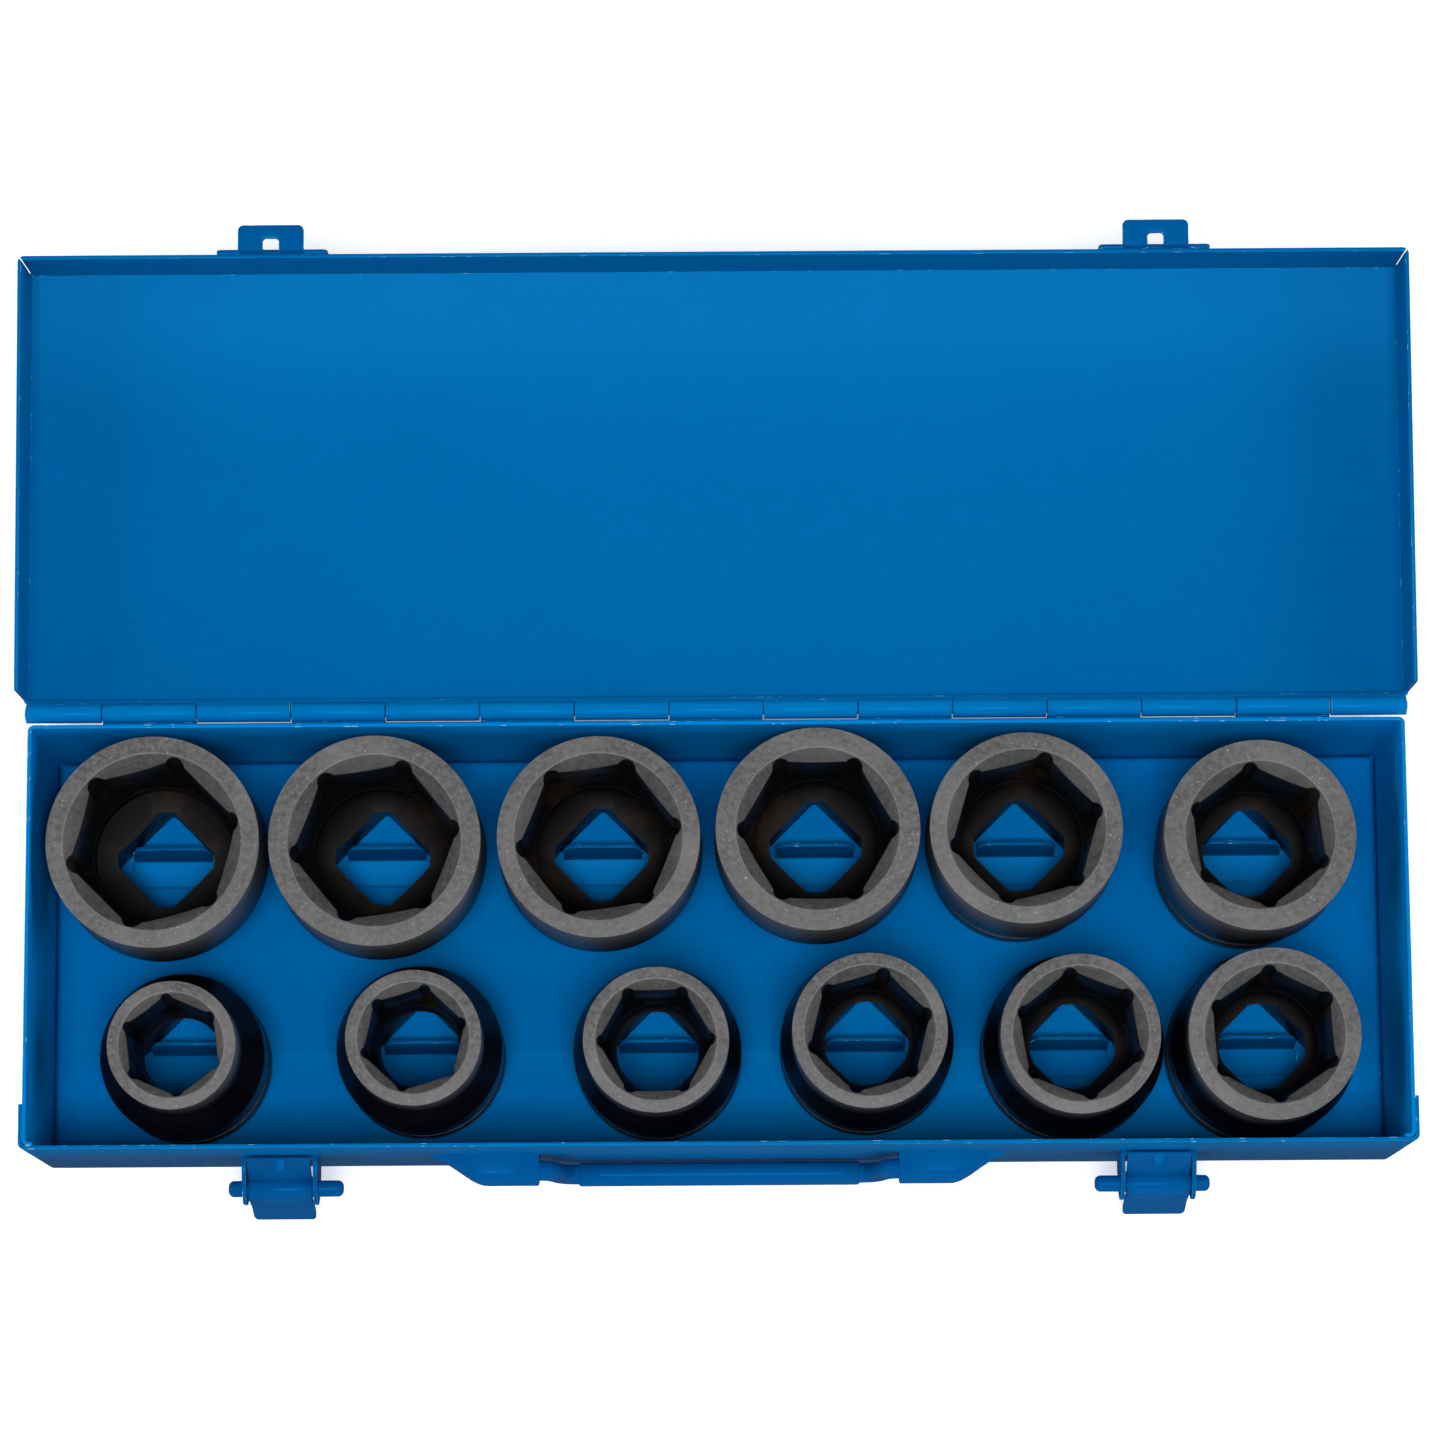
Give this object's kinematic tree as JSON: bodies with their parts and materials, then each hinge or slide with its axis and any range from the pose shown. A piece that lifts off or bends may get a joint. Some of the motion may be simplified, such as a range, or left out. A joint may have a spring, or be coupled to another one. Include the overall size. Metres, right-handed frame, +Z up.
{
  "type": "socket set in case",
  "caption": "Folded sheet-steel case with a hinged lid, rocking latches and a swing handle, holding deep-walled impact sockets on a rack of bent tongues.",
  "frame": {"origin": "centre of the case's flat underside", "axes": "+X to the right along the case, +Y back to the hinge, +Z up; the lid lies open at 177 degrees"},
  "size_m": [0.339, 0.2368, 0.0764],
  "materials": {
    "case_paint": "glossy blue enamel on sheet steel",
    "rack_paint": "glossy blue enamel on sheet steel",
    "fitting_paint": "glossy blue enamel over pressed steel fittings",
    "socket_black": "black oxide on forged steel, greyed at the mouth"
  },
  "bodies": {
    "case": {"base_pan": "case_paint", "front_panel": "case_paint", "socket_rack": "rack_paint", "hinge_leaf_case": "fitting_paint", "hinge_pin": "fitting_paint", "latch_bracket_left": "fitting_paint", "latch_bracket_right": "fitting_paint", "latch_pin_left": "fitting_paint", "latch_pin_right": "fitting_paint", "handle_bracket_left": "fitting_paint", "handle_bracket_right": "fitting_paint"},
    "lid": {"lid_pan": "case_paint", "hinge_leaf_lid": "fitting_paint", "hasp_left": "fitting_paint", "hasp_right": "fitting_paint"},
    "latch_left": {"latch_lever_left": "fitting_paint"},
    "latch_right": {"latch_lever_right": "fitting_paint"},
    "handle": {"carry_handle": "fitting_paint"},
    "socket_21": {"socket_21mm": "socket_black"},
    "socket_22": {"socket_22mm": "socket_black"},
    "socket_24": {"socket_24mm": "socket_black"},
    "socket_26": {"socket_26mm": "socket_black"},
    "socket_27": {"socket_27mm": "socket_black"},
    "socket_28": {"socket_28mm": "socket_black"},
    "socket_30": {"socket_30mm": "socket_black"},
    "socket_32": {"socket_32mm": "socket_black"},
    "socket_33": {"socket_33mm": "socket_black"},
    "socket_34": {"socket_34mm": "socket_black"},
    "socket_35": {"socket_35mm": "socket_black"},
    "socket_36": {"socket_36mm": "socket_black"}
  },
  "joints": [
    {"name": "lid_hinge", "type": "hinge", "parent": "case", "child": "lid", "pos_m": [0, 0.0552, 0.052], "axis": [-1, 0, 0], "range_deg": [-177, 0]},
    {"name": "handle_swing", "type": "hinge", "parent": "case", "child": "handle", "pos_m": [0, -0.0553, 0.0305], "axis": [-1, 0, 0], "range_deg": [0, 90]},
    {"name": "latch_left_rock", "type": "hinge", "parent": "case", "child": "latch_left", "pos_m": [-0.1075, -0.059, 0.0265], "axis": [-1, 0, 0], "range_deg": [-12, 0]},
    {"name": "latch_right_rock", "type": "hinge", "parent": "case", "child": "latch_right", "pos_m": [0.1075, -0.059, 0.0265], "axis": [-1, 0, 0], "range_deg": [-12, 0]},
    {"name": "lift_21mm", "type": "slide", "parent": "case", "child": "socket_21", "axis": [0, 0, 1], "range_m": [0, 0.062]},
    {"name": "lift_22mm", "type": "slide", "parent": "case", "child": "socket_22", "axis": [0, 0, 1], "range_m": [0, 0.062]},
    {"name": "lift_24mm", "type": "slide", "parent": "case", "child": "socket_24", "axis": [0, 0, 1], "range_m": [0, 0.062]},
    {"name": "lift_26mm", "type": "slide", "parent": "case", "child": "socket_26", "axis": [0, 0, 1], "range_m": [0, 0.062]},
    {"name": "lift_27mm", "type": "slide", "parent": "case", "child": "socket_27", "axis": [0, 0, 1], "range_m": [0, 0.062]},
    {"name": "lift_28mm", "type": "slide", "parent": "case", "child": "socket_28", "axis": [0, 0, 1], "range_m": [0, 0.062]},
    {"name": "lift_30mm", "type": "slide", "parent": "case", "child": "socket_30", "axis": [0, 0, 1], "range_m": [0, 0.062]},
    {"name": "lift_32mm", "type": "slide", "parent": "case", "child": "socket_32", "axis": [0, 0, 1], "range_m": [0, 0.062]},
    {"name": "lift_33mm", "type": "slide", "parent": "case", "child": "socket_33", "axis": [0, 0, 1], "range_m": [0, 0.062]},
    {"name": "lift_34mm", "type": "slide", "parent": "case", "child": "socket_34", "axis": [0, 0, 1], "range_m": [0, 0.062]},
    {"name": "lift_35mm", "type": "slide", "parent": "case", "child": "socket_35", "axis": [0, 0, 1], "range_m": [0, 0.062]},
    {"name": "lift_36mm", "type": "slide", "parent": "case", "child": "socket_36", "axis": [0, 0, 1], "range_m": [0, 0.062]}
  ]
}
